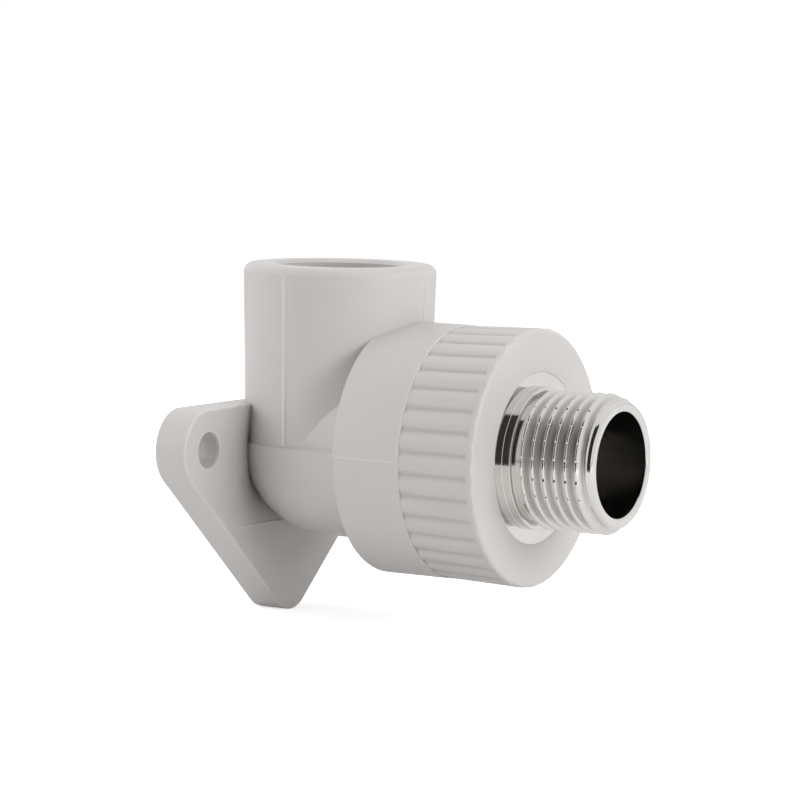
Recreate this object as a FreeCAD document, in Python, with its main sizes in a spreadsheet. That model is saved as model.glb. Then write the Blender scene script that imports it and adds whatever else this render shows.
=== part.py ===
"""Wall plate elbow for a heat-welded plastic pipe, with a half-inch male thread.

Two pieces: the plastic moulding (pipe socket, ball-shaped heel, branch, ribbed collar and wall plate in one) and
the turned, plated brass insert that is moulded into the collar.

Frame, in mm: the origin is on the wall, midway between the two screw holes, where the thread's axis meets the
wall. The wall is the plane y = 0, the thread points away from it, towards -Y, and the socket opens towards +Z.
"""

import FreeCAD
import Part

import math
import os

import Sketcher

DOC = FreeCAD.newDocument("WallPlateElbow")
SHEET = DOC.addObject("Spreadsheet::Sheet", "Dimensions")

# Every driving dimension, once: alias, value in mm (or a count), what it is.
DIMENSIONS = (
    ("socket_height", 27.3, "thread axis to the socket's mouth"),
    ("socket_foot_radius", 14.12, "outside of the socket at the level of the thread axis"),
    ("socket_mouth_radius", 14.75, "outside of the socket at its mouth"),
    ("socket_rim_round", 1.3, "rounding of the socket's outer rim"),
    ("pipe_bore_radius", 9.7, "socket bore, a little under the pipe for the weld"),
    ("pipe_bore_depth", 15.5, "how far the pipe goes in"),
    ("pipe_lead_in", 0.5, "chamfer at the bore's mouth"),
    ("water_radius", 6.9, "water passage through the bend"),
    ("heel_radius", 14.5, "lower half of the bend and of the branch"),
    ("branch_radius", 13.95, "upper half of the branch, behind the collar"),
    ("collar_start", 11.0, "socket axis to the back of the collar"),
    ("band_length", 11.4, "plain band of the collar"),
    ("band_radius", 19.15, "outside of the plain band"),
    ("band_edge_round", 0.4, "rounding of the collar's back edge"),
    ("band_lip_chamfer", 0.15, "chamfer on the band's front edge, which stands above the ribs"),
    ("rib_length", 12.7, "ribbed band of the collar, up to its face"),
    ("rib_count", 36, "ribs round the collar"),
    ("rib_crest_radius", 19.05, "outside of the collar over the ribs, where they leave the band"),
    ("rib_round", 3.0, "radius of one rib's back, where it leaves the band"),
    ("rib_draft", 1.65, "degrees by which the ribs widen towards the face, so that the mould lets go"),
    ("rib_valley_radius", 18.75, "bottom of the valleys between the ribs"),
    ("rim_length", 1.1, "rim in front of the valleys"),
    ("rim_radius", 19.3, "outside of that rim"),
    ("face_round", 0.7, "rounding between the rim and the face"),
    ("face_round_lift", 0.05, "how far the rounding runs out above the ribs, so that they keep a crisp end"),
    ("wall_distance", 13.1, "socket axis to the wall"),
    ("plate_thickness", 5.4, "wall plate, at its ears and its tip"),
    ("plate_edge_round", 0.4, "rounding of the plate's front edge"),
    ("web_thickness", 3.0, "wall plate beside the bend, where its front is sunk"),
    ("sunk_half_width", 17.2, "socket axis to each side of the sunk part, where the plate's front starts to bend"),
    ("sunk_side_round", 4.2, "radius of that bend"),
    ("sunk_side_lift", 0.05, "how far the bend starts in front of the plate, so that it ends in a fine edge"),
    ("sunk_drop", 12.5, "thread axis down to the lower edge of the sunk part"),
    ("hole_spacing", 47.6, "between the two screw holes"),
    ("hole_radius", 2.75, "screw hole"),
    ("ear_radius", 6.1, "rounded ear about each screw hole"),
    ("tip_drop", 21.55, "screw holes down to the centre of the plate's tip"),
    ("tip_radius", 5.2, "rounded tip of the plate"),
    ("insert_bore_radius", 7.85, "bore of the brass insert"),
    ("insert_edge_break", 0.3, "broken edges of the insert's bore"),
    ("root_length", 2.5, "plain tube at the insert's inner end"),
    ("root_radius", 10.6, "outside of that tube"),
    ("seal_ring_length", 4.0, "inner anchor ring"),
    ("seal_ring_radius", 13.3, "outside of the inner anchor ring"),
    ("neck_length", 3.0, "each neck beside the toothed ring"),
    ("neck_radius", 11.4, "outside of the two necks"),
    ("tooth_ring_length", 4.6, "toothed anchor ring, against turning"),
    ("tooth_ring_radius", 13.9, "outside of the toothed ring"),
    ("tooth_gap_count", 12, "notches round the toothed ring"),
    ("tooth_gap_radius", 1.5, "half-round notch"),
    ("flange_thickness", 2.6, "flange, flush with the collar's face"),
    ("flange_radius", 12.92, "outside of the flange"),
    ("shoulder_length", 1.4, "shoulder in front of the flange"),
    ("shoulder_radius", 10.68, "outside of the shoulder"),
    ("shoulder_chamfer", 0.4, "chamfer on the shoulder"),
    ("relief_length", 0.9, "thread relief groove"),
    ("relief_radius", 9.2, "bottom of the relief groove"),
    ("thread_length", 11.2, "threaded length, over both end chamfers"),
    ("thread_radius", 10.4775, "half of the half-inch thread's 20.955 mm major diameter"),
    ("thread_chamfer", 0.9775, "chamfer at each end of the thread, down to the plain tip"),
    ("tip_ring_length", 0.75, "plain ring at the insert's end"),
    ("lip_round", 0.25, "rounded lip"),
)

for row, (alias, value, note) in enumerate(DIMENSIONS, start=1):
    SHEET.set(f"A{row}", note)
    SHEET.set(f"B{row}", str(value))
    SHEET.setAlias(f"B{row}", alias)
DOC.recompute()


class Size:
    """A dimension, or a sum of dimensions: its value now, and the expression that binds it to the sheet."""

    def __init__(self, value, text):
        self.value = value
        self.text = text

    def __add__(self, other):
        return Size(self.value + other.value, f"({self.text} + {other.text})")

    def __sub__(self, other):
        return Size(self.value - other.value, f"({self.text} - {other.text})")

    def __mul__(self, factor):
        return Size(self.value * factor, f"({self.text} * {factor})")

    def __neg__(self):
        return Size(-self.value, f"(0 mm - {self.text})")


def size(alias):
    return Size(SHEET.get(alias), f"Dimensions.{alias} * 1 mm")


ZERO = Size(0.0, "0 mm")
MARGIN = Size(1.0, "1 mm")


def bind(target, **properties):
    """Gives an object's properties their values through expressions."""
    for name, what in properties.items():
        target.setExpression(name, what.text)


def place_at_bend(thing, forwards=None):
    """Puts an object's origin where the axes of the socket and the thread cross, or a size in front of there."""
    place = size("wall_distance") if forwards is None else size("wall_distance") + forwards
    thing.setExpression("Placement.Base.y", (-place).text)


def origin_feature(body, role):
    return next(f for f in body.Origin.OriginFeatures if f.Role == role)


def new_body(name, at_bend=True):
    body = DOC.addObject("PartDesign::Body", name)
    if at_bend:
        place_at_bend(body)
    return body


def new_sketch(body, name, plane, shift=None):
    """A sketch on one of the body's own origin planes, moved along the plane's normal by a size."""
    sketch = body.newObject("Sketcher::SketchObject", name)
    sketch.AttachmentSupport = [(origin_feature(body, plane), "")]
    sketch.MapMode = "FlatFace"
    if shift is not None:
        sketch.setExpression("AttachmentOffset.Base.z", shift.text)
    return sketch


def dimension(sketch, kind, *rest):
    """A dimensional constraint whose last argument is a Size."""
    what = rest[-1]
    index = sketch.addConstraint(Sketcher.Constraint(kind, *rest[:-1], what.value))
    sketch.setExpression(f"Constraints[{index}]", what.text)


def pin(sketch, curve, end, across, up):
    """Holds one point of a sketch at two sizes from the sketch's origin."""
    for kind, axis, what in (("DistanceX", -2, across), ("DistanceY", -1, up)):
        if what is ZERO:
            sketch.addConstraint(Sketcher.Constraint("PointOnObject", curve, end, axis))
        else:
            dimension(sketch, kind, -1, 1, curve, end, what)


def vector(across, up):
    return FreeCAD.Vector(across.value, up.value, 0)


def polygon(sketch, corners):
    """Straight sides through the corners, with every corner held by its sizes."""
    count = len(corners)
    for here, there in zip(corners, corners[1:] + corners[:1]):
        sketch.addGeometry(Part.LineSegment(vector(*here), vector(*there)))
    for side in range(count):
        sketch.addConstraint(Sketcher.Constraint("Coincident", side, 2, (side + 1) % count, 1))
    for side, (across, up) in enumerate(corners):
        pin(sketch, side, 1, across, up)


def revolve(body, sketch, axis, kind="PartDesign::Revolution", name="Turned"):
    feature = body.newObject(kind, name)
    feature.Profile = sketch
    feature.ReferenceAxis = (sketch, [axis])
    feature.Angle = 360
    return feature


def edges_where(feature, wanted):
    """Names of the edges of a feature's shape that pass a test."""
    edges = feature.Shape.Edges
    return [f"Edge{number}" for number, edge in enumerate(edges, start=1) if wanted(edge)]


def round_edges(body, feature, wanted, radius, name="Rounded"):
    DOC.recompute()
    fillet = body.newObject("PartDesign::Fillet", name)
    fillet.Base = (feature, edges_where(feature, wanted))
    bind(fillet, Radius=radius)
    return fillet


def near(one, other):
    return abs(one - other) < 1e-4


def circle_at(edge, radius, axis, place):
    """Whether an edge is a circle of a radius about an axis (0, 1 or 2) at a place along it."""
    curve = edge.Curve
    if not isinstance(curve, Part.Circle):
        return False
    return near(curve.Radius, radius.value) and near(abs(curve.Axis[axis]), 1) and near(curve.Center[axis], place.value)


# Places along the thread axis, counted forwards from the socket axis.
collar_start = size("collar_start")
rib_start = collar_start + size("band_length")
face = rib_start + size("rib_length")
flange_back = face - size("flange_thickness")
front_neck_back = flange_back - size("neck_length")
tooth_ring_back = front_neck_back - size("tooth_ring_length")
back_neck_back = tooth_ring_back - size("neck_length")
seal_ring_back = back_neck_back - size("seal_ring_length")
insert_back = seal_ring_back - size("root_length")
shoulder_front = face + size("shoulder_length")
thread_start = shoulder_front + size("relief_length")
thread_end = thread_start + size("thread_length")
insert_front = thread_end + size("tip_ring_length")


# Threaded insert: one turned profile, half of its section in the plane x = 0.
insert = new_body("ThreadedInsert")
insert.Label = "threaded_insert"
bore = size("insert_bore_radius")
edge_break = size("insert_edge_break")
thread_chamfer = size("thread_chamfer")
thread_radius = size("thread_radius")
tip_radius = thread_radius - thread_chamfer
profile = new_sketch(insert, "InsertProfile", "YZ_Plane")
polygon(
    profile,
    [
        (-insert_back, bore + edge_break),
        (-insert_back, size("root_radius")),
        (-seal_ring_back, size("root_radius")),
        (-seal_ring_back, size("seal_ring_radius")),
        (-back_neck_back, size("seal_ring_radius")),
        (-back_neck_back, size("neck_radius")),
        (-tooth_ring_back, size("neck_radius")),
        (-tooth_ring_back, size("tooth_ring_radius")),
        (-front_neck_back, size("tooth_ring_radius")),
        (-front_neck_back, size("neck_radius")),
        (-flange_back, size("neck_radius")),
        (-flange_back, size("flange_radius")),
        (-face, size("flange_radius")),
        (-face, size("shoulder_radius")),
        (-(shoulder_front - size("shoulder_chamfer")), size("shoulder_radius")),
        (-shoulder_front, size("shoulder_radius") - size("shoulder_chamfer")),
        (-shoulder_front, size("relief_radius")),
        (-thread_start, size("relief_radius")),
        (-thread_start, tip_radius),
        (-(thread_start + thread_chamfer), thread_radius),
        (-(thread_end - thread_chamfer), thread_radius),
        (-thread_end, tip_radius),
        (-insert_front, tip_radius),
        (-insert_front, bore + edge_break),
        (-(insert_front - edge_break), bore),
        (-(insert_back + edge_break), bore),
    ],
)
turned = revolve(insert, profile, "H_Axis")
lip = round_edges(insert, turned, lambda e: circle_at(e, tip_radius, 1, -insert_front), size("lip_round"), "Lip")

notch_sketch = new_sketch(insert, "NotchSection", "XZ_Plane", tooth_ring_back)
notch_sketch.addGeometry(
    Part.Circle(vector(ZERO, size("tooth_ring_radius")), FreeCAD.Vector(0, 0, 1), size("tooth_gap_radius").value)
)
pin(notch_sketch, 0, 3, ZERO, size("tooth_ring_radius"))
dimension(notch_sketch, "Radius", 0, size("tooth_gap_radius"))
notch = insert.newObject("PartDesign::Pocket", "Notch")
notch.Profile = notch_sketch
notch.Reversed = True
bind(notch, Length=size("tooth_ring_length"))
notches = insert.newObject("PartDesign::PolarPattern", "Notches")
notches.Originals = [notch]
notches.Axis = (notch_sketch, ["N_Axis"])
notches.Angle = 360
bind(notches, Occurrences=Size(0, "Dimensions.tooth_gap_count"))
insert.Tip = notches


# Pipe socket: a cone that widens towards its mouth.
socket = new_body("SocketBlank")
socket_height = size("socket_height")
mouth_radius = size("socket_mouth_radius")
profile = new_sketch(socket, "SocketProfile", "XZ_Plane")
polygon(
    profile,
    [(ZERO, ZERO), (size("socket_foot_radius"), ZERO), (mouth_radius, socket_height), (ZERO, socket_height)],
)
turned = revolve(socket, profile, "V_Axis")
round_edges(socket, turned, lambda e: circle_at(e, mouth_radius, 2, socket_height), size("socket_rim_round"))


# Branch and collar: a turned core, ribs patterned round its front half, and the rounded front corner cut over them.
# The ribs are pads with a draft, so that crests and valleys rise together until the valleys end at the rim.
collar = new_body("CollarBlank")
band_radius = size("band_radius")
band_lip = size("band_lip_chamfer")
crest = size("rib_crest_radius")
valley = size("rib_valley_radius")
rim = size("rim_radius")
rim_back = face - size("rim_length")
rib_draft = Size(SHEET.get("rib_draft"), "Dimensions.rib_draft * 1 deg")
rib_flare = Size(
    SHEET.get("rib_length") * math.tan(math.radians(rib_draft.value)),
    "Dimensions.rib_length * 1 mm * tan(Dimensions.rib_draft * 1 deg)",
)
profile = new_sketch(collar, "CollarProfile", "YZ_Plane")
polygon(
    profile,
    [
        (ZERO, ZERO),
        (ZERO, size("branch_radius")),
        (-collar_start, size("branch_radius")),
        (-collar_start, band_radius),
        (-(rib_start - band_lip), band_radius),
        (-rib_start, band_radius - band_lip),
        (-rib_start, valley),
        (-(rim_back - (rim - valley)), valley),
        (-rim_back, rim),
        (-face, rim),
        (-face, ZERO),
    ],
)
turned = revolve(collar, profile, "H_Axis")
round_edges(collar, turned, lambda e: circle_at(e, band_radius, 1, -collar_start), size("band_edge_round"))

rib_sketch = new_sketch(collar, "RibSection", "XZ_Plane", rib_start)
rib_round = size("rib_round")
rib_sketch.addGeometry(Part.Circle(vector(ZERO, crest - rib_round), FreeCAD.Vector(0, 0, 1), rib_round.value))
pin(rib_sketch, 0, 3, ZERO, crest - rib_round)
dimension(rib_sketch, "Radius", 0, rib_round)
rib = collar.newObject("PartDesign::Pad", "Rib")
rib.Profile = rib_sketch
bind(rib, Length=size("rib_length"), TaperAngle=rib_draft)
ribs = collar.newObject("PartDesign::PolarPattern", "Ribs")
ribs.Originals = [rib]
ribs.Axis = (rib_sketch, ["N_Axis"])
ribs.Angle = 360
bind(ribs, Occurrences=Size(0, "Dimensions.rib_count"))
collar.Tip = ribs

face_round = size("face_round")
corner_sketch = new_sketch(collar, "FaceCorner", "YZ_Plane")
round_back = -(face - face_round)
round_outer = crest + rib_flare + size("face_round_lift")
round_inner = round_outer - face_round
arc = Part.Circle(vector(round_back, round_inner), FreeCAD.Vector(0, 0, 1), face_round.value)
corner_sketch.addGeometry(Part.ArcOfCircle(arc, math.pi / 2, math.pi))
path = [
    (-face, round_inner),
    (-(face + MARGIN), round_inner),
    (-(face + MARGIN), round_outer + MARGIN),
    (round_back, round_outer + MARGIN),
    (round_back, round_outer),
]
for here, there in zip(path, path[1:]):
    corner_sketch.addGeometry(Part.LineSegment(vector(*here), vector(*there)))
for first, first_end, second, second_end in ((0, 2, 1, 1), (1, 2, 2, 1), (2, 2, 3, 1), (3, 2, 4, 1), (4, 2, 0, 1)):
    corner_sketch.addConstraint(Sketcher.Constraint("Coincident", first, first_end, second, second_end))
pin(corner_sketch, 0, 3, round_back, round_inner)
dimension(corner_sketch, "Radius", 0, face_round)
for side in (1, 3):
    corner_sketch.addConstraint(Sketcher.Constraint("Horizontal", side))
for side in (2, 4):
    corner_sketch.addConstraint(Sketcher.Constraint("Vertical", side))
pin(corner_sketch, 3, 1, *path[2])
corner_sketch.addConstraint(Sketcher.Constraint("Horizontal", 0, 2, 0, 3))
corner_sketch.addConstraint(Sketcher.Constraint("Vertical", 0, 1, 0, 3))
revolve(collar, corner_sketch, "H_Axis", "PartDesign::Groove", "FaceRound")


# Wall plate: a rounded triangle with two ears and a tip, drawn from the wall forwards. Beside the bend its front is
# sunk, from the top edge down to a ledge, with sloping sides.
plate = new_body("PlateBlank", at_bend=False)
ear_across = size("hole_spacing") * 0.5
ear_radius = size("ear_radius")
tip_drop = size("tip_drop")
tip_round = size("tip_radius")
outline = new_sketch(plate, "PlateOutline", "XZ_Plane")
slope = math.atan2(tip_drop.value, ear_across.value)
slope += math.asin((ear_radius.value - tip_round.value) / math.hypot(tip_drop.value, ear_across.value))
normal = FreeCAD.Vector(-math.sin(slope), -math.cos(slope), 0)
left, right, tip = vector(-ear_across, ZERO), vector(ear_across, ZERO), vector(ZERO, -tip_drop)
mirrored = FreeCAD.Vector(-normal.x, normal.y, 0)
up = FreeCAD.Vector(0, ear_radius.value, 0)
turn = math.pi / 2
out = FreeCAD.Vector(0, 0, 1)
left_end = math.pi + (math.pi / 2 - slope)
outline.addGeometry(Part.ArcOfCircle(Part.Circle(left, out, ear_radius.value), turn, left_end))
outline.addGeometry(Part.LineSegment(left + normal * ear_radius.value, tip + normal * tip_round.value))
outline.addGeometry(Part.ArcOfCircle(Part.Circle(tip, out, tip_round.value), left_end, 3 * math.pi - left_end))
outline.addGeometry(Part.LineSegment(tip + mirrored * tip_round.value, right + mirrored * ear_radius.value))
outline.addGeometry(Part.ArcOfCircle(Part.Circle(right, out, ear_radius.value), math.pi - left_end, turn))
outline.addGeometry(Part.LineSegment(right + up, left + up))
for side in range(6):
    outline.addConstraint(Sketcher.Constraint("Tangent", side, 2, (side + 1) % 6, 1))
pin(outline, 0, 3, -ear_across, ZERO)
pin(outline, 2, 3, ZERO, -tip_drop)
pin(outline, 4, 3, ear_across, ZERO)
dimension(outline, "Radius", 0, ear_radius)
dimension(outline, "Radius", 2, tip_round)
outline.addConstraint(Sketcher.Constraint("Equal", 0, 4))
for centre, ear in ((left, 0), (right, 4)):
    hole = outline.addGeometry(Part.Circle(centre, out, size("hole_radius").value))
    outline.addConstraint(Sketcher.Constraint("Coincident", hole, 3, ear, 3))
    dimension(outline, "Radius", hole, size("hole_radius"))
pad = plate.newObject("PartDesign::Pad", "Plate")
pad.Profile = outline
bind(pad, Length=size("plate_thickness"))


def on_front_outline(edge):
    """Whether an edge lies in the plate's front face and isn't a screw hole's."""
    front = -size("plate_thickness").value
    flat = all(near(vertex.Y, front) for vertex in edge.Vertexes) and near(edge.CenterOfMass.y, front)
    return flat and not (isinstance(edge.Curve, Part.Circle) and near(edge.Curve.Radius, size("hole_radius").value))


round_edges(plate, pad, on_front_outline, size("plate_edge_round"))

plate_front = -size("plate_thickness")
web_front = -size("web_thickness")
sunk_side = size("sunk_half_width")
bend_round = size("sunk_side_round")
bend_start = plate_front - size("sunk_side_lift")
bend_centre = bend_start + bend_round
open_front = plate_front - MARGIN
sunk_sketch = new_sketch(plate, "SunkSection", "XY_Plane", -size("sunk_drop"))
bend_end = math.asin((web_front - bend_centre).value / bend_round.value)
left_bend = Part.Circle(vector(-sunk_side, bend_centre), out, bend_round.value)
right_bend = Part.Circle(vector(sunk_side, bend_centre), out, bend_round.value)
left_arc = Part.ArcOfCircle(left_bend, -math.pi / 2, bend_end)
right_arc = Part.ArcOfCircle(right_bend, math.pi - bend_end, 3 * math.pi / 2)
sunk_sketch.addGeometry(left_arc)
sunk_sketch.addGeometry(Part.LineSegment(left_arc.EndPoint, right_arc.StartPoint))
sunk_sketch.addGeometry(right_arc)
path = [(sunk_side, bend_start), (sunk_side, open_front), (-sunk_side, open_front), (-sunk_side, bend_start)]
for here, there in zip(path, path[1:]):
    sunk_sketch.addGeometry(Part.LineSegment(vector(*here), vector(*there)))
for side in range(6):
    sunk_sketch.addConstraint(Sketcher.Constraint("Coincident", side, 2, (side + 1) % 6, 1))
pin(sunk_sketch, 0, 3, -sunk_side, bend_centre)
pin(sunk_sketch, 2, 3, sunk_side, bend_centre)
dimension(sunk_sketch, "Radius", 0, bend_round)
sunk_sketch.addConstraint(Sketcher.Constraint("Equal", 0, 2))
for side in (1, 4):
    sunk_sketch.addConstraint(Sketcher.Constraint("Horizontal", side))
for side in (3, 5):
    sunk_sketch.addConstraint(Sketcher.Constraint("Vertical", side))
dimension(sunk_sketch, "DistanceY", -1, 1, 1, 1, web_front)
dimension(sunk_sketch, "DistanceY", -1, 1, 4, 1, open_front)
sunk_sketch.addConstraint(Sketcher.Constraint("Vertical", 0, 1, 0, 3))
sunk_sketch.addConstraint(Sketcher.Constraint("Vertical", 2, 2, 2, 3))
sunk = plate.newObject("PartDesign::Pocket", "Sunk")
sunk.Profile = sunk_sketch
sunk.Reversed = True
bind(sunk, Length=size("sunk_drop") + ear_radius + MARGIN)


# Lower half of the bend: a half ball and a half cylinder, a little fuller than the upper half of the mould.
heel_ball = DOC.addObject("Part::Sphere", "HeelBall")
heel_ball.Angle1 = -90
heel_ball.Angle2 = 0
bind(heel_ball, Radius=size("heel_radius"))
place_at_bend(heel_ball)
heel_branch = DOC.addObject("Part::Cylinder", "HeelBranch")
heel_branch.Angle = 180
forwards = FreeCAD.Rotation(FreeCAD.Vector(1, 0, 0), 90)
heel_branch.Placement.Rotation = forwards * FreeCAD.Rotation(out, 180)
place_at_bend(heel_branch)
bind(heel_branch, Radius=size("heel_radius"), Height=collar_start + MARGIN)

moulding = DOC.addObject("Part::MultiFuse", "Moulding")
moulding.Shapes = [socket, collar, plate, heel_ball, heel_branch]


# What is hollow: the pipe's socket, the water passage round the bend, the insert's seat, and all behind the wall plane.
pipe_bore = new_body("PipeBore")
bore_foot = socket_height - size("pipe_bore_depth")
pipe_radius = size("pipe_bore_radius")
lead_in = size("pipe_lead_in")
profile = new_sketch(pipe_bore, "PipeBoreProfile", "XZ_Plane")
polygon(
    profile,
    [
        (ZERO, ZERO),
        (size("water_radius"), ZERO),
        (size("water_radius"), bore_foot),
        (pipe_radius, bore_foot),
        (pipe_radius, socket_height - lead_in),
        (pipe_radius + lead_in, socket_height),
        (pipe_radius + lead_in, socket_height + MARGIN),
        (ZERO, socket_height + MARGIN),
    ],
)
revolve(pipe_bore, profile, "V_Axis")

bend_ball = DOC.addObject("Part::Sphere", "BendBall")
bind(bend_ball, Radius=size("water_radius"))
place_at_bend(bend_ball)
branch_bore = DOC.addObject("Part::Cylinder", "BranchBore")
branch_bore.Placement.Rotation = forwards
place_at_bend(branch_bore)
bind(branch_bore, Radius=size("water_radius"), Height=insert_back)
insert_core = DOC.addObject("Part::Cylinder", "InsertCore")
insert_core.Placement.Rotation = forwards
core_radius = (bore + size("relief_radius")) * 0.5
bind(insert_core, Radius=core_radius, Height=face + MARGIN - insert_back)
place_at_bend(insert_core, insert_back)

behind_wall = DOC.addObject("Part::Box", "BehindWall")
reach = size("socket_mouth_radius") + MARGIN
bind(behind_wall, Length=reach * 2.0, Width=reach, Height=socket_height + size("heel_radius") + MARGIN * 2.0)
behind_wall.setExpression("Placement.Base.x", (-reach).text)
behind_wall.setExpression("Placement.Base.z", (-(size("heel_radius") + MARGIN)).text)

hollows = DOC.addObject("Part::MultiFuse", "Hollows")
hollows.Shapes = [pipe_bore, bend_ball, branch_bore, insert_core, behind_wall, insert]

body = DOC.addObject("Part::Cut", "MouldedBody")
body.Label = "moulded_body"
body.Base = moulding
body.Tool = hollows
DOC.recompute()

for thing in DOC.Objects:
    if "Invalid" in thing.State or "Error" in thing.State:
        raise RuntimeError(f"{thing.Name} was not made: {thing.State}")
os.makedirs("parts", exist_ok=True)
for piece in (body, insert):
    shape = piece.Shape
    if shape.isNull() or not shape.isValid() or len(shape.Solids) != 1:
        raise RuntimeError(f"{piece.Label} is not one valid solid")
    shape.exportStep(f"parts/{piece.Label}.step")
    box = shape.BoundBox
    print(piece.Label, round(shape.Volume, 1), [round(v, 2) for v in (box.XLength, box.YLength, box.ZLength)])
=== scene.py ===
# %% [markdown]
# # A wall plate elbow, dressed from its solids
#
# The part is a plastic pipe elbow that is screwed to a wall. A plastic pipe is welded into the socket on
# top, and the plated thread that points away from the wall takes a tap or a hose. Its solids come from a
# CAD file, so the sizes are settled before Blender starts. What is left for this script is everything that
# the eye wants and the solids leave plain: the cut thread with its nicks, the seams of the mould, the
# finishes, the light and the camera.
#
# The first cell loads the solids as a fixed frame, and keeps their box. Their box is kept, because nothing
# added later may grow past it.

# %% Load the solids
import math
import bpy
import numpy as np
from mathutils import Matrix, Vector


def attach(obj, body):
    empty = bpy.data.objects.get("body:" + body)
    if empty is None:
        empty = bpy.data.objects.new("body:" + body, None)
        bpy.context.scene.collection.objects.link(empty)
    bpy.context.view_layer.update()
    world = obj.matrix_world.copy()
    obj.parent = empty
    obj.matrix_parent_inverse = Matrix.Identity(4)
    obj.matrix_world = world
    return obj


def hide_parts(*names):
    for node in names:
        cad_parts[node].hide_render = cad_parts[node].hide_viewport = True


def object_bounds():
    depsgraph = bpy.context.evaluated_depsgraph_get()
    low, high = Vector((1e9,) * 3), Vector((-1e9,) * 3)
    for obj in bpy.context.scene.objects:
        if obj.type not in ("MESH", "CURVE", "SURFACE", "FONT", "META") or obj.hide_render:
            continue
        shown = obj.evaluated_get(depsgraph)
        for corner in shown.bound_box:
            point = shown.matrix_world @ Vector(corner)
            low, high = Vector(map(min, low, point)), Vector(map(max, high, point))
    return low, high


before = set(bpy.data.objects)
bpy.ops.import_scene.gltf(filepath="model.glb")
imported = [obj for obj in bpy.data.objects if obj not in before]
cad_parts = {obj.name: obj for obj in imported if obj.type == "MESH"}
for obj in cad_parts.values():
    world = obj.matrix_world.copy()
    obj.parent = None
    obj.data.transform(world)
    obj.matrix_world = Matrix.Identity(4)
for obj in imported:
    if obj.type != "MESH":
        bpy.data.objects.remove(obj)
CAD_BOX = [list(corner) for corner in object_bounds()]
print("solids:", sorted(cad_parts), "box in mm:", np.round(np.array(CAD_BOX) * 1000, 2).tolist())

# %% [markdown]
# ## Where things are
#
# The frame is the part's own: the wall is the plane y = 0, the thread points towards -Y and the socket
# opens towards +Z. Lengths are easier to think about in millimetres, so the sizes of the shapes are in
# millimetres and turn into metres only when a mesh is made. The axes of the socket and of the thread cross
# 13.1 mm in front of the wall. Along the thread, "forward" is the distance from that crossing.

# %% Sizes that the new pieces share with the solids
MM = 0.001
WALL_DISTANCE = 13.1
SOCKET_HEIGHT, SOCKET_FOOT_RADIUS, SOCKET_MOUTH_RADIUS, RIM_ROUND = 27.3, 14.12, 14.75, 1.3
HEEL_RADIUS, BAND_RADIUS = 14.5, 19.15
COLLAR_BACK, BAND_FRONT, FACE = 11.0, 22.4, 35.1
LOWEST = CAD_BOX[0][2] / MM
print(f"lowest point {LOWEST:.2f} mm, thread tip {CAD_BOX[0][1] / MM:.2f} mm from the wall")

# %% [markdown]
# ## Surfaces from grids
#
# Every new piece is a grid of points: rows one way, columns the other. Numpy works out all the points at
# once, and neighbouring points make a four-sided face. A grid can close on itself along its rows, along its
# columns or both. The turned insert closes both ways, so it has no open seam. The seams and slopes of the
# mould close only round their section, and their two ends stay open. Edges that are meant to look crisp are
# marked by the angle between their faces, and everything softer is shaded smooth.

# %% Turn a grid of points into a piece
def skin(name, grid, close_rows=False, close_columns=False, crisp=35.0):
    """A mesh object from grid[row, column] = (x, y, z) in mm, where face (i, j) joins i, i + 1 and j, j + 1.
    The order of the points sets which way the faces point. The left band seam, edge seam, ledge slope and
    plate slope are mirror images of the right ones, so their faces point inwards."""
    rows, columns = grid.shape[:2]
    index = np.arange(rows * columns, dtype=np.int32).reshape(rows, columns)
    if close_rows:
        index = np.vstack([index, index[:1]])
    if close_columns:
        index = np.hstack([index, index[:, :1]])
    quads = np.stack([index[:-1, :-1], index[:-1, 1:], index[1:, 1:], index[1:, :-1]], axis=-1).reshape(-1, 4)
    mesh = bpy.data.meshes.new(name)
    mesh.vertices.add(rows * columns)
    mesh.vertices.foreach_set("co", (grid.reshape(-1) * MM).astype(np.float32))
    mesh.loops.add(quads.size)
    mesh.loops.foreach_set("vertex_index", quads.reshape(-1))
    mesh.polygons.add(len(quads))
    mesh.polygons.foreach_set("loop_start", np.arange(0, quads.size, 4, dtype=np.int32))
    mesh.update(calc_edges=True)
    mesh.validate()
    mesh.shade_smooth()
    mesh.set_sharp_from_angle(angle=math.radians(crisp))
    piece = bpy.data.objects.new(name, mesh)
    bpy.context.scene.collection.objects.link(piece)
    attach(piece, "root")
    print(f"{name}: {2 * len(quads)} triangles")
    return piece


# %% [markdown]
# ## The turned and threaded insert
#
# The real insert is turned from a brass bar, threaded, nicked across the thread so that sealing tape holds,
# and plated. One way to make it is a screw modifier on a drawn profile, but the nicks, the chamfers and the
# run-out of the thread would each need a boolean. A lathe thinks in another way, and that is copied here:
# the surface is one function, radius = f(place along the axis, angle round it). The profile gives the
# radius of the plain bar, and the thread and the nicks only ever take some off, as the lathe's tools do.

# %% A profile with rounded corners
HOLD = 0.03


def rounded(corners, steps=4):
    """Points along a path of (forward, radius, round) corners. A corner with round c is left at distance c
    / tan(half the angle between its sides), and an arc of radius c joins the two sides there. A point close
    by on each side keeps the shading of the long faces flat, so that they mirror as flat faces do."""
    path = np.array([corner[:2] for corner in corners], float)
    out = []
    for i, (_, _, curve) in enumerate(corners):
        here, before, after = path[i], path[i - 1], path[(i + 1) % len(path)]
        if curve == 0:
            out.append(here)
            continue
        a = (before - here) / np.linalg.norm(before - here)
        b = (after - here) / np.linalg.norm(after - here)
        half = math.acos(np.clip(a @ b, -1, 1)) / 2
        centre = here + (a + b) / np.linalg.norm(a + b) * curve / math.sin(half)
        start, end = here + a * curve / math.tan(half), here + b * curve / math.tan(half)
        out.append(start + a * HOLD)
        for t in np.linspace(0, 1, steps + 1):
            arm = (start - centre) * (1 - t) + (end - centre) * t
            out.append(centre + arm / np.linalg.norm(arm) * curve)
        out.append(end + b * HOLD)
    return np.array(out)


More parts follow.
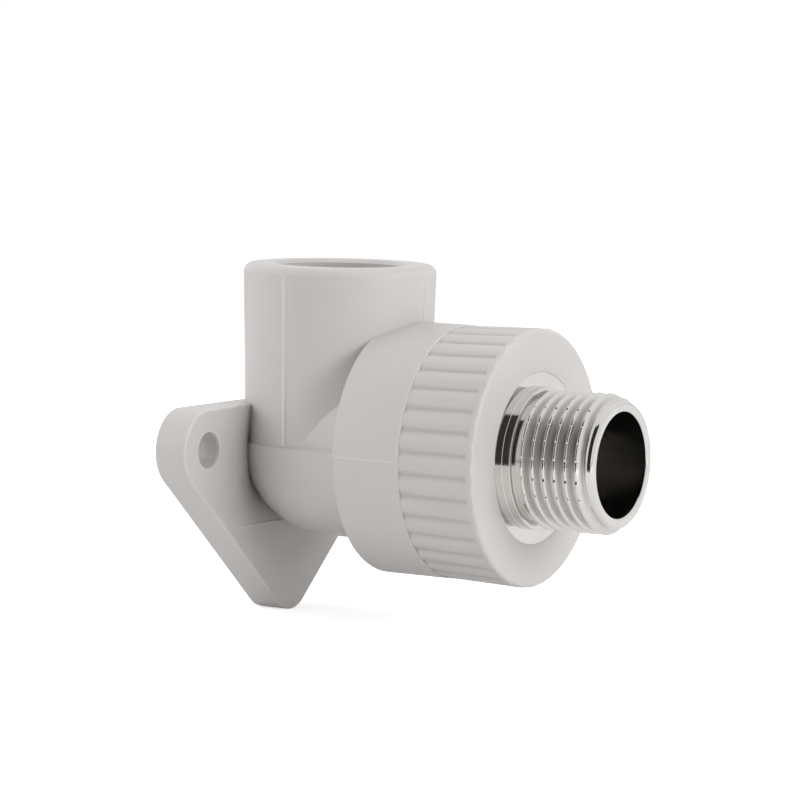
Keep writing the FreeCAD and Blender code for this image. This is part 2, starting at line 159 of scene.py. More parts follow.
# %% Sizes of the insert
BORE_RADIUS, FLANGE_RADIUS, SHOULDER_RADIUS, RELIEF_RADIUS = 7.85, 12.92, 10.68, 9.2
TAIL_LENGTH, TAIL_RADIUS, BARREL_RADIUS = 2.5, 10.6, 11.4
INSERT_BACK, FLANGE_BACK, SHOULDER_FRONT = 15.4, 32.5, 36.5
SHOULDER_CHAMFER_LENGTH, SHOULDER_CHAMFER_DEPTH = 0.12, 0.42
THREAD_START, THREAD_END, TIP = 37.4, 48.6, 49.35
THREAD_RADIUS, PITCH, TIP_RADIUS = 10.4775, 1.814, 9.5
THREAD_DEPTH, THREAD_ROUND, FLANK = 0.6403 * PITCH, 0.1373 * PITCH, math.radians(27.5)
FIRST_CREST = 38.1
RUN_IN_STEEPNESS, END_STEEPNESS = 3.0, 1.0
NICKS, NICK_DEPTH, NICK_ANGLE, FIRST_NICK = 23, 0.16, math.radians(1.7), math.radians(-6.0)


# %% The thread's height from its phase
def thread_radius(forward, turn):
    """A half-inch pipe thread: straight flanks at 27.5 degrees, and crests and roots rounded to 0.1373 of
    the pitch. With d the distance along the axis to the nearest crest, the crest is an arc round d = 0, the
    root is an arc round d = pitch / 2, and the flank between them falls by 1 / tan(27.5 degrees) for each
    millimetre."""
    phase = (forward - FIRST_CREST) / PITCH - turn / (2 * math.pi)
    d = np.abs(phase - np.round(phase)) * PITCH
    reach = THREAD_ROUND * math.cos(FLANK)
    crest = THREAD_RADIUS - THREAD_ROUND + np.sqrt(np.clip(THREAD_ROUND**2 - d**2, 0, None))
    root_arc = np.sqrt(np.clip(THREAD_ROUND**2 - (PITCH / 2 - d) ** 2, 0, None))
    root = THREAD_RADIUS - THREAD_DEPTH + THREAD_ROUND - root_arc
    flank_top = THREAD_RADIUS - THREAD_ROUND + THREAD_ROUND * math.sin(FLANK)
    flank = flank_top - (d - reach) / math.tan(FLANK)
    return np.where(d < reach, crest, np.where(d > PITCH / 2 - reach, root, flank))


# %% Rows and columns of the insert
THREAD_ROWS, THREAD_INSET = 175, 0.03
outside = rounded([
    (INSERT_BACK, BORE_RADIUS, 0.3), (INSERT_BACK, TAIL_RADIUS, 0.2),
    (INSERT_BACK + TAIL_LENGTH, TAIL_RADIUS, 0.2), (INSERT_BACK + TAIL_LENGTH, BARREL_RADIUS, 0.1),
    (FLANGE_BACK, BARREL_RADIUS, 0.2), (FLANGE_BACK, FLANGE_RADIUS, 0.1),
    (FACE, FLANGE_RADIUS, 0.09), (FACE, SHOULDER_RADIUS, 0.06),
    (SHOULDER_FRONT - SHOULDER_CHAMFER_LENGTH, SHOULDER_RADIUS, 0.12),
    (SHOULDER_FRONT, SHOULDER_RADIUS - SHOULDER_CHAMFER_DEPTH, 0.08),
    (SHOULDER_FRONT, RELIEF_RADIUS, 0.12), (THREAD_START, RELIEF_RADIUS, 0.1)])
thread_places = np.linspace(THREAD_START + THREAD_INSET, THREAD_END - THREAD_INSET, THREAD_ROWS)
thread = np.column_stack([thread_places, np.full(THREAD_ROWS, THREAD_RADIUS)])
lip = rounded([(THREAD_END, TIP_RADIUS, 0.1), (TIP, TIP_RADIUS, 0.5), (TIP, BORE_RADIUS, 0.28),
               (INSERT_BACK + 1, BORE_RADIUS, 0)], steps=7)
profile = np.vstack([outside, thread, lip])
cut = slice(len(outside), len(outside) + len(thread))

step = 2 * math.pi / NICKS
within = np.array([-0.5, -0.36, -0.24, -0.16, -0.1, -0.05, 0.0, 0.05, 0.1, 0.16, 0.24, 0.36])
turns = ((np.arange(NICKS)[:, None] + within) * step).reshape(-1) + FIRST_NICK
print("insert: rows", len(profile), "columns", len(turns))

# %% Cut the thread and the nicks
forward = np.repeat(profile[:, :1], len(turns), axis=1)
radius = np.repeat(profile[:, 1:], len(turns), axis=1)
run_in = RELIEF_RADIUS + (forward - THREAD_START) * RUN_IN_STEEPNESS
run_out = TIP_RADIUS + (THREAD_END - forward) * END_STEEPNESS
bar = np.minimum(THREAD_RADIUS, np.minimum(run_in, run_out))
shares = np.random.default_rng(7).uniform(0.75, 1.1, (1, NICKS))
depths = NICK_DEPTH * shares.repeat(len(within), axis=1)
nick = THREAD_RADIUS - depths + np.abs(np.tile(within, NICKS)) * step / NICK_ANGLE * NICK_DEPTH
radius[cut] = np.minimum(np.minimum(thread_radius(forward, turns), bar), nick)[cut]

# %% Make the insert
insert_grid = np.stack([-radius * np.cos(turns), -WALL_DISTANCE - forward, -radius * np.sin(turns)], axis=-1)
insert = skin("turned_insert", insert_grid, close_rows=True, close_columns=True, crisp=30.0)
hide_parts("threaded_insert")

# %% [markdown]
# ## The seams of the mould
#
# The elbow is moulded in a tool of several parts, and each joint of the tool leaves a fine raised line. The
# widest is a flat ribbon up each side of the socket. A thinner one runs up its front, and another runs
# along the plain band of the collar at the height of the thread's axis. They could be part of the bump of
# the plastic, but a bump has no edge for light to catch, so each is a low bead of real geometry: a small
# profile carried along a line on the surface.

# %% Carry a low bead along a line
FOOT_SUNK = 0.3


def bead(name, line, out, across, width, height, round_share=0.3):
    """A bead with open ends: at each point of line, the profile goes from -width / 2 to width / 2 along
    across and rises by height along out, with its two shoulders rounded. Its foot is sunk under the
    surface."""
    t = np.linspace(0, 1, 5)
    bend = round_share * width
    aside = width / 2 - bend * (1 - np.sin(t * math.pi / 2))
    edge = np.column_stack([aside, height * np.cos(t * math.pi / 2)])
    shape = np.vstack([[-width / 2, -FOOT_SUNK], edge[::-1] * [-1, 1], edge, [width / 2, -FOOT_SUNK]])
    grid = line[:, None] + shape[None, :, :1] * across[:, None] + shape[None, :, 1:] * out[:, None]
    return skin(name, grid, close_columns=True, crisp=50.0)


# %% Ribbons on the socket
RIBBON_WIDTH, RIBBON_HEIGHT = 0.75, 0.13
SOCKET_SEAM_TOP = SOCKET_HEIGHT - RIM_ROUND + 0.2
FADE_LENGTH, FADE_DEPTH = 0.5, 0.1


def socket_radius(z):
    """The socket's outside is a cone: its radius grows evenly from its foot, at z = 0, to its mouth."""
    return SOCKET_FOOT_RADIUS + (SOCKET_MOUTH_RADIUS - SOCKET_FOOT_RADIUS) * z / SOCKET_HEIGHT


def socket_bead(name, side, width, height, low, high):
    """A bead up the cone at the angle side, where 0 is +X and -90 degrees is the front. Over the last half
    millimetre at each end it sinks by its height and 0.1 mm more."""
    z = np.linspace(low, high, 60)
    out = np.array([math.cos(side), math.sin(side), 0.0]) + np.zeros((len(z), 3))
    fade = np.clip(np.minimum(z - low, high - z) / FADE_LENGTH, 0, 1)
    reach = socket_radius(z) - (1 - fade) * (height + FADE_DEPTH)
    line = np.column_stack([reach * out[:, 0], reach * out[:, 1] - WALL_DISTANCE, z])
    across = np.array([-math.sin(side), math.cos(side), 0.0]) + np.zeros((len(z), 3))
    return bead(name, line, out, across, width, height)


trim = [
    socket_bead("seam_left", math.radians(177.2), RIBBON_WIDTH, RIBBON_HEIGHT, 0.0, SOCKET_SEAM_TOP),
    socket_bead("seam_right", math.radians(2.8), RIBBON_WIDTH, RIBBON_HEIGHT, 0.0, SOCKET_SEAM_TOP),
    socket_bead("seam_front", math.radians(-87.0), 0.3, 0.06, 13.0, SOCKET_SEAM_TOP),
]


# %% Beads along the band of the collar
def axis_line(side, radius_at, start, end, rows=60):
    """A line at z = 0 on the side +1 or -1, and the way out of the surface at each of its points. In front
    of the crossing it runs parallel to the thread's axis, at the given radius. Behind the crossing it
    follows the ball of the heel: the distance from the axis is sqrt(radius^2 - along^2)."""
    along = np.linspace(start, end, rows)
    back = np.minimum(along, 0.0)
    away = side * np.sqrt(radius_at**2 - back**2)
    line = np.column_stack([away, -WALL_DISTANCE - along, np.zeros(rows)])
    return line, np.column_stack([away, -back, np.zeros(rows)]) / radius_at


UP = np.array([0.0, 0.0, 1.0])
for word, side in (("left", -1), ("right", 1)):
    line, out = axis_line(side, BAND_RADIUS, COLLAR_BACK + 0.5, BAND_FRONT - 0.2)
    trim.append(bead(f"band_seam_{word}", line, out, UP + np.zeros_like(line), 0.3, 0.04))

# %% [markdown]
# The lower half of the bend stands a little proud of the upper half, because its half of the mould is a
# little larger. The solids have that step as a sharp ledge. On the real part it is a small slope that
# catches the light from above, so a narrow strip lies on the ledge: its section is a slope with rounded
# ends, carried along the ledge.

# %% The slope on the ledge
LEDGE_WIDTH, LEDGE_RISE, LEDGE_SUNK, LEDGE_BACK = 0.6, 0.24, 0.15, 0.3


def ledge_slope(name, side, start, end):
    """A strip along the ledge, with open ends. Its section starts just under the heel's surface, goes
    inwards while it rises along half a cosine wave, and closes behind, under the surface."""
    line, out = axis_line(side, HEEL_RADIUS, start, end)
    t = np.linspace(0, 1, 7)
    slope = np.column_stack([-0.01 - LEDGE_WIDTH * t, LEDGE_RISE * (1 - np.cos(math.pi * t)) / 2])
    inner = -LEDGE_WIDTH - LEDGE_BACK
    shape = np.vstack([[-0.02, -LEDGE_SUNK], slope, [inner, LEDGE_RISE], [inner, -LEDGE_SUNK]])
    grid = line[:, None] + shape[None, :, :1] * out[:, None] + shape[None, :, 1:] * UP
    return skin(name, grid, close_columns=True, crisp=50.0)


for word, side in (("left", -1), ("right", 1)):
    trim.append(ledge_slope(f"ledge_slope_{word}", side, -9.5, COLLAR_BACK + 0.3))

# %% [markdown]
# ## The soft sides of the plate's sunk part
#
# Beside the bend the plate's front is sunk, and its solids get there by a short round. On the real plate
# the front leans over gently before it meets the bend, and that long slope is what makes the soft dark
# corner there. A sheet of points is enough: the height of the front is one function of the place, and the
# sheet's section closes inside the plate.

# %% The slope of the plate's front
PLATE_FRONT, PLATE_TOP, SUNK_LOW, EDGE_ROUND = 5.4, 6.1, -12.5, 0.4
SLOPE_OUTER, SLOPE_INNER, SLOPE_END = 16.6, 9.5, 3.0
LOWEST_FRONT, SHEET_BACK = 2.7, 2.6
LOW_DEPTH, MORE_DEPTH, TOP_RISE = 0.12, 1.98, 1.1


def smooth(t):
    """0 up to t = 0, 1 from t = 1 on, and 3 t^2 - 2 t^3 between them."""
    t = np.clip(t, 0, 1)
    return 3 * t**2 - 2 * t**3


def plate_slope(name, side):
    """The sheet's front lies at y = -(plate front - depth * s), and never closer to the wall than 2.7 mm.
    Going inwards, s = t^2 with t = 0 at the outer side and 1 at the inner one, and t grows on to 1.2, so
    the slope starts flat and gets steeper as far as the bend. The depth is 0 at the sunk part's lower edge,
    about 0.13 a quarter of a millimetre above it, 2.1 from 8 mm above it to the thread's axis, and 1 at the
    plate's top edge, which is rounded by a quarter circle."""
    x = np.linspace(SLOPE_OUTER, SLOPE_END, 72)
    ledge_z = np.linspace(SUNK_LOW - 0.02, SUNK_LOW + 0.25, 6)
    z = np.concatenate([ledge_z, np.linspace(SUNK_LOW + 0.5, PLATE_TOP - EDGE_ROUND, 46)])
    bend = np.linspace(0, math.pi / 2, 7)[1:]
    high = np.concatenate([z, PLATE_TOP - EDGE_ROUND + EDGE_ROUND * np.sin(bend) - 0.01])
    sink = np.concatenate([np.zeros(len(z)), EDGE_ROUND * (1 - np.cos(bend))])
    above = high - SUNK_LOW
    depth = LOW_DEPTH * smooth(above / 0.25) + MORE_DEPTH * smooth(above / 8.0)
    depth = depth - TOP_RISE * smooth(high / PLATE_TOP)
    share = np.minimum((SLOPE_OUTER - x) / (SLOPE_OUTER - SLOPE_INNER), 1.2)[:, None] ** 2
    front = np.maximum(PLATE_FRONT + 0.005 - share * depth - sink, LOWEST_FRONT)
    rows = np.stack([side * x[:, None] + 0 * front, -front, high + 0 * front], axis=-1)
    low_back = np.stack([side * x, np.full(len(x), -SHEET_BACK), np.full(len(x), SUNK_LOW - 0.02)], axis=-1)
    top_back = low_back * [1, 1, 0] + [0, 0, PLATE_TOP - 0.01]
    grid = np.concatenate([low_back[:, None], rows, top_back[:, None]], axis=1)
    return skin(name, grid, close_columns=True, crisp=60.0)


AWAY_FROM_WALL = np.array([0.0, -1.0, 0.0])
for word, side in (("left", -1), ("right", 1)):
    trim.append(plate_slope(f"plate_slope_{word}", side))
    x = np.linspace(16.0, 5.0, 40)
    line = np.column_stack([side * x, -PLATE_FRONT + 0.0 * x, np.full(len(x), SUNK_LOW)])
    out, across = AWAY_FROM_WALL + np.zeros_like(line), UP + np.zeros_like(line)
    trim.append(bead(f"edge_seam_{word}", line, out, across, 0.3, 0.03))

# %% [markdown]
# ## Finishes
#
# Polypropylene is neither matt nor shiny. Its skin has the fine grain of the mould, with a low, broad
# gloss. The colour is a warm light grey that varies by a hair where the melt has flowed. All patterns read
# Object coordinates, which are metres here.

# %% Helpers for node materials
NOISE_LOW, NOISE_HIGH = 0.3, 0.7


def material(name):
    """A new material, its nodes, its links and its main shader."""
    made = bpy.data.materials.new(name)
    made.use_nodes = True
    nodes = made.node_tree.nodes
    return made, nodes, made.node_tree.links, nodes["Principled BSDF"]


def noise(nodes, links, scale, detail=3.0, stretch=(1.0, 1.0, 1.0)):
    """Noise on Object coordinates. scale is in cycles for each metre."""
    place = nodes.new("ShaderNodeTexCoord")
    mapping = nodes.new("ShaderNodeMapping")
    mapping.inputs["Scale"].default_value = stretch
    texture = nodes.new("ShaderNodeTexNoise")
    texture.inputs["Scale"].default_value = scale
    texture.inputs["Detail"].default_value = detail
    links.new(place.outputs["Object"], mapping.inputs["Vector"])
    links.new(mapping.outputs["Vector"], texture.inputs["Vector"])
    return texture.outputs["Fac"]


def between(nodes, links, value, low, high, start, end):
    """value mapped so that low becomes start and high becomes end, and kept between them."""
    node = nodes.new("ShaderNodeMapRange")
    for socket, number in zip(("From Min", "From Max", "To Min", "To Max"), (low, high, start, end)):
        node.inputs[socket].default_value = number
    links.new(value, node.inputs["Value"])
    return node.outputs["Result"]


def ranged(nodes, links, value, low, high):
    """A noise mapped so that 0.3 becomes low and 0.7 becomes high, and kept between them."""
    return between(nodes, links, value, NOISE_LOW, NOISE_HIGH, low, high)


def bumped(nodes, links, shader, height, distance, strength=1.0):
    """A bump of that height texture, distance in metres, on the shader's normal."""
    node = nodes.new("ShaderNodeBump")
    node.inputs["Distance"].default_value = distance
    node.inputs["Strength"].default_value = strength
    links.new(height, node.inputs["Height"])
    links.new(node.outputs["Normal"], shader.inputs["Normal"])


def coloured(nodes, links, shader, value, dark, light, brightness=None):
    """The shader's colour runs from dark to light with value, times brightness where that is given."""
    node = nodes.new("ShaderNodeMix")
    node.data_type = "RGBA"
    node.inputs["A"].default_value, node.inputs["B"].default_value = (*dark, 1.0), (*light, 1.0)
    links.new(value, node.inputs["Factor"])
    result = node.outputs["Result"]
    if brightness is not None:
        scaled = nodes.new("ShaderNodeVectorMath")
        scaled.operation = "SCALE"
        links.new(result, scaled.inputs[0])
        links.new(brightness, scaled.inputs["Scale"])
        result = scaled.outputs[0]
    links.new(result, shader.inputs["Base Color"])


def computed(nodes, links, operation, first, second):
    """The result of a math node on two sockets."""
    node = nodes.new("ShaderNodeMath")
    node.operation = operation
    links.new(first, node.inputs[0])
    links.new(second, node.inputs[1])
    return node.outputs[0]


def places(nodes, links):
    """Three sockets in metres: the distance from the thread's axis, the place along it (Y), and the height
    (Z). The distance is sqrt(x^2 + z^2)."""
    place, parts = nodes.new("ShaderNodeTexCoord"), nodes.new("ShaderNodeSeparateXYZ")
    links.new(place.outputs["Object"], parts.inputs[0])
    flat, span = nodes.new("ShaderNodeCombineXYZ"), nodes.new("ShaderNodeVectorMath")
    span.operation = "LENGTH"
    links.new(parts.outputs["X"], flat.inputs["X"])
    links.new(parts.outputs["Z"], flat.inputs["Z"])
    links.new(flat.outputs[0], span.inputs[0])
    return span.outputs["Value"], parts.outputs["Y"], parts.outputs["Z"]


def window(nodes, links, value, low, high, soft):
    """1 where value lies between low and high, 0 outside, with an edge of width soft inside each end."""
    rising = between(nodes, links, value, low, low + soft, 0.0, 1.0)
    falling = between(nodes, links, value, high - soft, high, 1.0, 0.0)
    return computed(nodes, links, "MULTIPLY", rising, falling)


# %% The plastic
RIB_SLOPE = math.tan(math.radians(1.65))
FLARE_FRONT, FLARE_BACK = -0.050, -0.030
# Painted shade and painted highlights in the plastic's colour: how much darker the creases between the ribs
# are, and how much lighter the band's lip, the rim of the collar's face and the plate's front edges are.
CREASE_FROM, CREASE_TO, CREASE_PAINTED_SHADE = 0.01766, 0.01788, -0.17
LIP_FROM, LIP_TO, LIP_PAINTED_HIGHLIGHT = 0.0185, 0.0188, 0.09
RIM_FROM, RIM_TO, RIM_PAINTED_HIGHLIGHT = 0.0180, 0.0184, 0.06
EDGE_PAINTED_HIGHLIGHT = 0.13


def forward_y(forward):
    """The Y, in metres, of a place that lies forward mm along the thread: -(wall distance + forward)."""
    return -(WALL_DISTANCE + forward) * MM


def polypropylene(name, dark, light):
    """The moulding's plastic, between two greys, with painted shade and painted highlights multiplied into
    its colour: the creases between the ribs are painted darker, and the band's lip, the rim of the collar's
    face and the plate's front edges are painted lighter. The crease between two ribs lies where distance from
    the axis + slope * Y is small, because crests and creases both widen towards the face by that slope."""
    made, nodes, links, shader = material(name)
    from_axis, along, height = places(nodes, links)

    def ramp(value, low, high, start, end):
        return between(nodes, links, value, low, high, start, end)

    def product(first, second):
        return computed(nodes, links, "MULTIPLY", first, second)

    # Painted shade: the creases between the ribs are darkened in the colour.
    flare = ramp(along, FLARE_FRONT, FLARE_BACK, FLARE_FRONT * RIB_SLOPE, FLARE_BACK * RIB_SLOPE)
    level = computed(nodes, links, "ADD", from_axis, flare)
    in_ribs = window(nodes, links, along, forward_y(FACE - 1.1), forward_y(BAND_FRONT), 0.0003)
    crease = product(in_ribs, ramp(level, CREASE_FROM, CREASE_TO, CREASE_PAINTED_SHADE, 0.0))
    # Painted highlight: the lip at the band's front edge is lightened in the colour.
    lip = window(nodes, links, along, forward_y(BAND_FRONT), forward_y(BAND_FRONT - 0.3), 0.00003)
    lip = product(lip, ramp(from_axis, LIP_FROM, LIP_TO, 0.0, LIP_PAINTED_HIGHLIGHT))
    # Painted highlight: the rim of the collar's face is lightened in the colour.
    rim = window(nodes, links, along, forward_y(FACE - 0.05), forward_y(FACE - 0.8), 0.0002)
    rim = product(rim, ramp(from_axis, RIM_FROM, RIM_TO, 0.0, RIM_PAINTED_HIGHLIGHT))
    # Painted highlight: the plate's rounded front edges, away from the socket and on the lower tip, but not
    # along the top, are lightened in the colour.
    plate = window(nodes, links, along, -(PLATE_FRONT - 0.02) * MM, -(PLATE_FRONT - 0.45) * MM, 0.0001)
    aside = ramp(from_axis, 0.0170, 0.0180, 0.0, EDGE_PAINTED_HIGHLIGHT)
    below = ramp(height, -0.0150, -0.0140, EDGE_PAINTED_HIGHLIGHT, 0.0)
    not_on_top = ramp(height, 0.0063, 0.0064, 1.0, 0.0)
    edge = product(plate, product(computed(nodes, links, "MAXIMUM", aside, below), not_on_top))
    plain = nodes.new("ShaderNodeValue")
    plain.outputs[0].default_value = 1.0
    shade = plain.outputs[0]
    # The painted shade and painted highlights scale the base colour.
    for part in (crease, lip, rim, edge):
        shade = computed(nodes, links, "ADD", shade, part)
    flow = ranged(nodes, links, noise(nodes, links, 45.0, 2.0), 0.0, 1.0)
    coloured(nodes, links, shader, flow, dark, light, shade)
    grain = noise(nodes, links, 260.0, 4.0)
    links.new(ranged(nodes, links, grain, 0.34, 0.42), shader.inputs["Roughness"])
    bumped(nodes, links, shader, noise(nodes, links, 2600.0, 2.0), 0.00001, 0.5)
    shader.inputs["IOR"].default_value = 1.49
    print(name, len(nodes), "nodes")
    return made


plastic = polypropylene("grey_polypropylene", (0.600, 0.577, 0.566), (0.626, 0.602, 0.591))
# A lighter copy of the plastic for the mould's seams: their extra lightness is a painted highlight.
seam_plastic_painted_highlight = polypropylene("seam_polypropylene_painted_highlight", (0.66, 0.64, 0.63), (0.69, 0.67, 0.66))

# %% [markdown]
# The insert is nickel on brass. Nickel is a little warmer than chrome. Turning leaves rings so fine that
# they only spread a reflection along the axis, so the bump is a noise squeezed along Y. The crests of the
# thread are polished and its valleys are duller, because the tool tears a little there. A valley is a place
# of the threaded length that lies nearer to the axis than the crests, and both distances can be read from
# Object coordinates.

# %% The plated metal
NICKEL_DARK, NICKEL_LIGHT = (0.70, 0.68, 0.66), (0.75, 0.735, 0.715)
THREAD_EDGE = 0.0002
SKIN_FROM, SKIN_TO, VALLEY_TOP, CREST_FOOT = 0.0082, 0.0088, 0.0098, 0.0103
VALLEY_DULLNESS = 0.35
plated, nodes, links, shader = material("plated_brass")
rings = noise(nodes, links, 900.0, 3.0, stretch=(0.15, 6.0, 0.15))
tone = ranged(nodes, links, noise(nodes, links, 160.0), 0.0, 1.0)
coloured(nodes, links, shader, tone, NICKEL_DARK, NICKEL_LIGHT)
from_axis, along, _ = places(nodes, links)
thread_back, thread_front = forward_y(THREAD_START) + THREAD_EDGE, forward_y(THREAD_END)
in_thread = window(nodes, links, along, thread_front, thread_back, THREAD_EDGE)
outer_share = between(nodes, links, from_axis, SKIN_FROM, SKIN_TO, 0.0, 1.0)
outer_skin = computed(nodes, links, "MULTIPLY", in_thread, outer_share)
low_share = between(nodes, links, from_axis, VALLEY_TOP, CREST_FOOT, 1.0, 0.0)
in_valley = computed(nodes, links, "MULTIPLY", outer_skin, low_share)
dull = between(nodes, links, in_valley, 0.0, 1.0, 0.0, VALLEY_DULLNESS)
polish = ranged(nodes, links, rings, 0.08, 0.14)
links.new(computed(nodes, links, "ADD", polish, dull), shader.inputs["Roughness"])
bumped(nodes, links, shader, rings, 0.00001, 0.4)
shader.inputs["Metallic"].default_value = 1.0
print("metal:", len(nodes), "nodes")

# %% Assign the finishes
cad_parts["moulded_body"].data.materials.clear()
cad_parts["moulded_body"].data.materials.append(plastic)
for piece in trim:
    piece.data.materials.append(seam_plastic_painted_highlight if "seam" in piece.name else plastic)
insert.data.materials.append(plated)
for piece in (insert, *trim):
    print(piece.name, "wears", piece.data.materials[0].name)

# %% [markdown]
# ## The studio
#
# The part stands on a white table in a white tent. What the camera sees of the table and the tent is white
# by itself, through Light Path's Is Camera Ray, and not because of more light: the lamps stay at a level at
# which the grey of the plastic comes out as it is written. The table keeps the part's soft shadow.

# %% The floor
# The floor reaches 3 m each way. Its glow is 0.68 up to 0.10 m from the origin and 1 from 0.35 m on.
FLOOR_HALF = 3.0
TABLE_MIRRORED = 0.3
GLOW_NEAR, GLOW_FAR = (0.10, 0.68), (0.35, 1.0)
floor_mesh = bpy.data.meshes.new("floor")
signs = ((-1, -1), (1, -1), (1, 1), (-1, 1))
floor_corners = [(x * FLOOR_HALF, y * FLOOR_HALF, LOWEST * MM) for x, y in signs]
floor_mesh.from_pydata(floor_corners, [], [(0, 1, 2, 3)])
floor = bpy.data.objects.new("floor", floor_mesh)
bpy.context.scene.collection.objects.link(floor)
table_white = bpy.data.materials.new("table_white")
table_white.use_nodes = True
nodes, links = table_white.node_tree.nodes, table_white.node_tree.links
nodes.clear()
paper, glow = nodes.new("ShaderNodeBsdfDiffuse"), nodes.new("ShaderNodeEmission")
both, output = nodes.new("ShaderNodeAddShader"), nodes.new("ShaderNodeOutputMaterial")
paper.inputs["Color"].default_value = (0.8, 0.8, 0.8, 1.0)
ray, seen = nodes.new("ShaderNodeLightPath"), nodes.new("ShaderNodeMath")
seen.operation = "MULTIPLY_ADD"
links.new(ray.outputs["Is Glossy Ray"], seen.inputs[0])
seen.inputs[1].default_value = TABLE_MIRRORED
links.new(ray.outputs["Is Camera Ray"], seen.inputs[2])
place, far = nodes.new("ShaderNodeTexCoord"), nodes.new("ShaderNodeVectorMath")
far.operation = "LENGTH"
links.new(place.outputs["Object"], far.inputs[0])
glow_here = between(nodes, links, far.outputs["Value"], GLOW_NEAR[0], GLOW_FAR[0], GLOW_NEAR[1], GLOW_FAR[1])
links.new(computed(nodes, links, "MULTIPLY", seen.outputs[0], glow_here), glow.inputs["Strength"])
links.new(paper.outputs[0], both.inputs[0])
links.new(glow.outputs[0], both.inputs[1])
links.new(both.outputs[0], output.inputs["Surface"])
floor_mesh.materials.append(table_white)
print("floor at", round(LOWEST, 2), "mm")

# %% The tent
TENT_LIGHT, TENT_MIRRORED = 0.05, 0.9
world = bpy.data.worlds.new("tent")
bpy.context.scene.world = world
world.use_nodes = True
nodes, links = world.node_tree.nodes, world.node_tree.links
nodes.clear()
ray = nodes.new("ShaderNodeLightPath")
mirrored, base = nodes.new("ShaderNodeMath"), nodes.new("ShaderNodeMath")
mirrored.operation, base.operation = "MULTIPLY", "MAXIMUM"
links.new(ray.outputs["Is Glossy Ray"], mirrored.inputs[0])
mirrored.inputs[1].default_value = TENT_MIRRORED
cleared = computed(nodes, links, "MAXIMUM", ray.outputs["Is Camera Ray"], ray.outputs["Is Transmission Ray"])
links.new(computed(nodes, links, "MAXIMUM", cleared, mirrored.outputs[0]), base.inputs[0])
base.inputs[1].default_value = TENT_LIGHT
sky, output = nodes.new("ShaderNodeBackground"), nodes.new("ShaderNodeOutputWorld")
links.new(base.outputs[0], sky.inputs["Strength"])
sky.inputs["Color"].default_value = (1.0, 1.0, 1.0, 1.0)
links.new(sky.outputs[0], output.inputs["Surface"])
print("tent strength for diffuse light:", TENT_LIGHT)

# %% [markdown]
# Bright metal in a white tent looks like plastic. Photographers put a black card beside it, so that its
# edges are drawn by dark streaks. The card here is bent round the thread's axis, at the camera's side, from
# the table to nearly overhead. Only reflections see it.

# %% The black card
CARD_RADIUS, CARD_MIDDLE, CARD_REACH = 170.0, -45.0, 118.0
CARD_LOW, CARD_HIGH, CARD_ROWS = -8.5, 75.0, 30
angles = np.radians(np.linspace(CARD_LOW, CARD_HIGH, CARD_ROWS))
card_x, card_z = -CARD_RADIUS * np.cos(angles) * MM, CARD_RADIUS * np.sin(angles) * MM
card_y = [(CARD_MIDDLE + reach) * MM for reach in (-CARD_REACH, CARD_REACH)]
points = [(float(x), y, float(z)) for x, z in zip(card_x, card_z) for y in card_y]
strips = [(2 * i, 2 * i + 1, 2 * i + 3, 2 * i + 2) for i in range(CARD_ROWS - 1)]
card_mesh = bpy.data.meshes.new("black_card")
card_mesh.from_pydata(points, [], strips)
card = bpy.data.objects.new("black_card", card_mesh)
bpy.context.scene.collection.objects.link(card)
card.visible_camera = card.visible_diffuse = card.visible_shadow = card.visible_transmission = False
card_black, nodes, links, shader = material("black_card")
shader.inputs["Base Color"].default_value = (0.02, 0.02, 0.02, 1.0)
shader.inputs["Roughness"].default_value = 0.9
card_mesh.materials.append(card_black)
print("card:", len(points), "points")

# %% Lamps
CENTRE = np.array([0.0, -25.0, 0.0])


def softbox(name, azimuth, elevation, distance, width, power):
    """A square area lamp on a sphere round the part, facing it. Azimuth 0 is in front of the thread and 90
    is at +X. Reflections don't show it."""
    a, e = math.radians(azimuth), math.radians(elevation)
    back = np.array([math.sin(a) * math.cos(e), -math.cos(a) * math.cos(e), math.sin(e)])
    lamp = bpy.data.lights.new(name, "AREA")
    lamp.shape, lamp.size, lamp.energy = "SQUARE", width * MM, power
    lamp_object = bpy.data.objects.new(name, lamp)
    bpy.context.scene.collection.objects.link(lamp_object)
    lamp_object.location = [float(v) * MM for v in CENTRE + back * distance]
    lamp_object.rotation_euler = Vector((-back).tolist()).to_track_quat("-Z", "Y").to_euler()
    lamp_object.visible_glossy = False


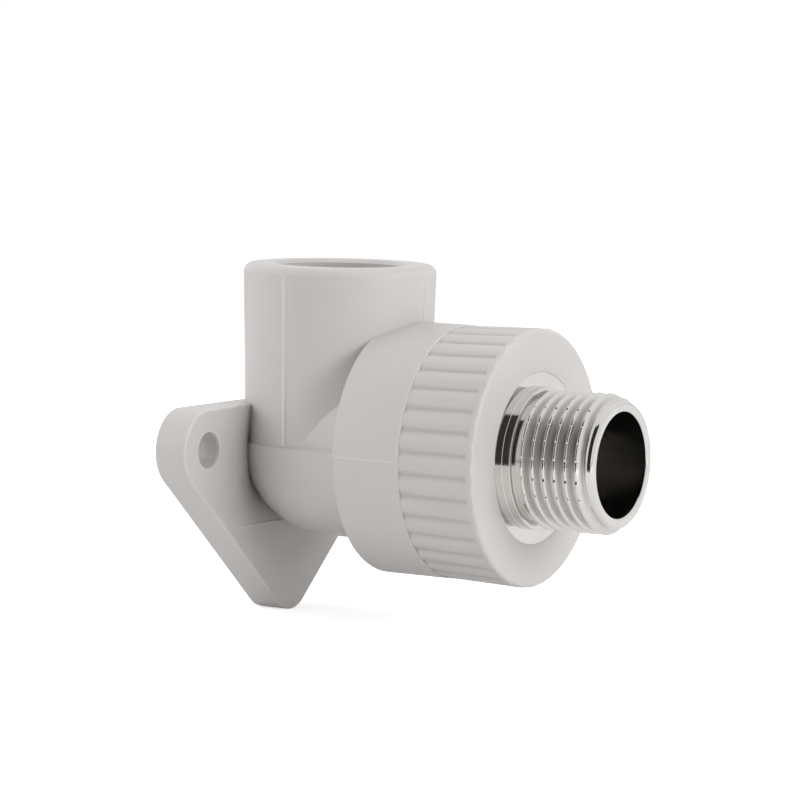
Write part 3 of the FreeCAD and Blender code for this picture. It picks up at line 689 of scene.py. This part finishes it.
softbox("top_box", 0.0, 88.0, 500.0, 450.0, 1.17)
softbox("front_box", 0.0, 15.0, 500.0, 350.0, 1.85)
softbox("left_box", -110.0, 12.0, 500.0, 350.0, 0.88)
softbox("left_back_box", -150.0, 25.0, 500.0, 350.0, 0.74)
softbox("back_box", 150.0, 35.0, 500.0, 400.0, 0.60)
softbox("right_box", 60.0, 20.0, 500.0, 350.0, 0.36)

# %% [markdown]
# ## The camera
#
# A photograph fixes its camera. With edges of the part at known places, the camera's bearing, height, tilt
# and distance can be solved for together, and then the model comes close to the picture. Nine tenths of its
# left, top and bottom outline lie within 2 pixels, but only half of the right one does, and the thread's
# tip ends about 3 pixels short. The long lens flattens the part.

# %% The camera
AZIMUTH, ELEVATION, ROLL = -58.973, 5.618, -1.121
SHIFT_RIGHT, SHIFT_UP, DISTANCE = -9.631, -6.278, 587.49
FOCAL_PIXELS, FRAME_PIXELS = 3830.0, 800


def camera_axes(azimuth, elevation, roll):
    """Rows right, up and back: back points from the part to the camera, and right and up are turned by
    roll."""
    a, e, r = (math.radians(v) for v in (azimuth, elevation, roll))
    back = np.array([math.sin(a) * math.cos(e), -math.cos(a) * math.cos(e), math.sin(e)])
    right = np.array([math.cos(a), math.sin(a), 0.0])
    up = np.cross(back, right)
    return np.array([math.cos(r) * right - math.sin(r) * up, math.sin(r) * right + math.cos(r) * up, back])


axes = camera_axes(AZIMUTH, ELEVATION, ROLL)
crossing = np.array([0.0, -WALL_DISTANCE, 0.0])
eye = crossing - np.array([SHIFT_RIGHT, SHIFT_UP, -DISTANCE]) @ axes
camera = bpy.data.objects.new("camera", bpy.data.cameras.new("camera"))
bpy.context.scene.collection.objects.link(camera)
bpy.context.scene.camera = camera
camera.data.sensor_width = 36.0
camera.data.lens = FOCAL_PIXELS / FRAME_PIXELS * camera.data.sensor_width
camera.data.clip_start, camera.data.clip_end = 0.01, 20.0
camera.matrix_world = Matrix([*np.column_stack([axes.T, eye * MM]).tolist(), [0.0, 0.0, 0.0, 1.0]])
print("camera at", np.round(eye, 1).tolist(), "mm, lens", round(camera.data.lens, 1), "mm")

# %% Finish
bpy.context.scene.view_settings.view_transform = "Standard"
